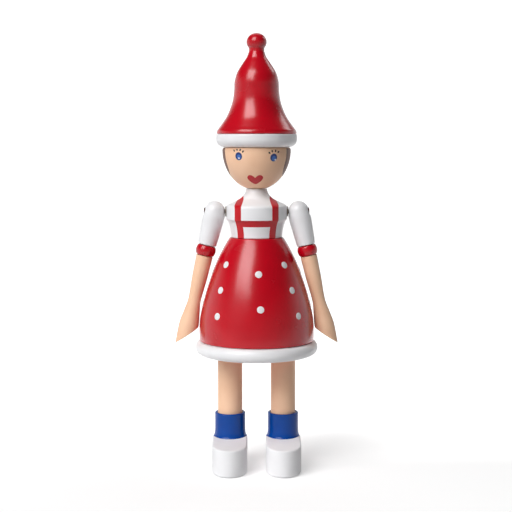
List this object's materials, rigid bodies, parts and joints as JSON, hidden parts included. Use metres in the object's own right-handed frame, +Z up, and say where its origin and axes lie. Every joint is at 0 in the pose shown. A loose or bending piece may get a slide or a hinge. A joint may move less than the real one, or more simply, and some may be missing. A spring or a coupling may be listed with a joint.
{
  "type": "wooden christmas figure",
  "caption": "Turned, painted wooden figure in a pointed hat and bell skirt, standing on clog shoes. Its head turns on the neck and its arms turn at the shoulders.",
  "frame": {"origin": "on the floor, on the body axis: the bottom centre of the bounding box", "axes": "+Z up; the figure faces -Y; +X is the figure's own left"},
  "size_m": [0.0756, 0.0568, 0.2],
  "materials": {
    "red_lacquer": "gloss lacquer on turned wood",
    "white_lacquer": "satin-gloss lacquer on turned wood",
    "skin_lacquer": "satin lacquer on turned wood",
    "blue_lacquer": "satin lacquer on turned wood",
    "bare_beech": "bare dowel",
    "bronzed_steel": "bronzed dark brown",
    "felt": "pressed felt"
  },
  "bodies": {
    "body": {"torso": "white_lacquer", "waist_dowel": "bare_beech", "neck_dowel": "bare_beech", "skirt": "red_lacquer", "hem_ring": "white_lacquer", "leg_left": "skin_lacquer", "leg_right": "skin_lacquer", "sock_left": "blue_lacquer", "sock_right": "blue_lacquer", "shoe_left": "white_lacquer", "shoe_right": "white_lacquer", "shoulder_screw_left": "bronzed_steel", "shoulder_screw_right": "bronzed_steel", "shoulder_washer_left": "felt", "shoulder_washer_right": "felt"},
    "head": {"head": "skin_lacquer", "hat": "red_lacquer", "hat_brim": "white_lacquer", "hat_dowel": "bare_beech"},
    "arm_left": {"sleeve_left": "white_lacquer", "cuff_left": "red_lacquer", "forearm_left": "skin_lacquer"},
    "arm_right": {"sleeve_right": "white_lacquer", "cuff_right": "red_lacquer", "forearm_right": "skin_lacquer"}
  },
  "joints": [
    {"name": "head_turn", "type": "hinge", "parent": "body", "child": "head", "pos_m": [0, 0, 0.1295], "axis": [0, 0, 1], "continuous": true},
    {"name": "left_shoulder", "type": "hinge", "parent": "body", "child": "arm_left", "pos_m": [0.0193, 0, 0.1189], "axis": [1, 0, 0], "continuous": true},
    {"name": "right_shoulder", "type": "hinge", "parent": "body", "child": "arm_right", "pos_m": [-0.0193, 0, 0.1189], "axis": [1, 0, 0], "continuous": true}
  ]
}
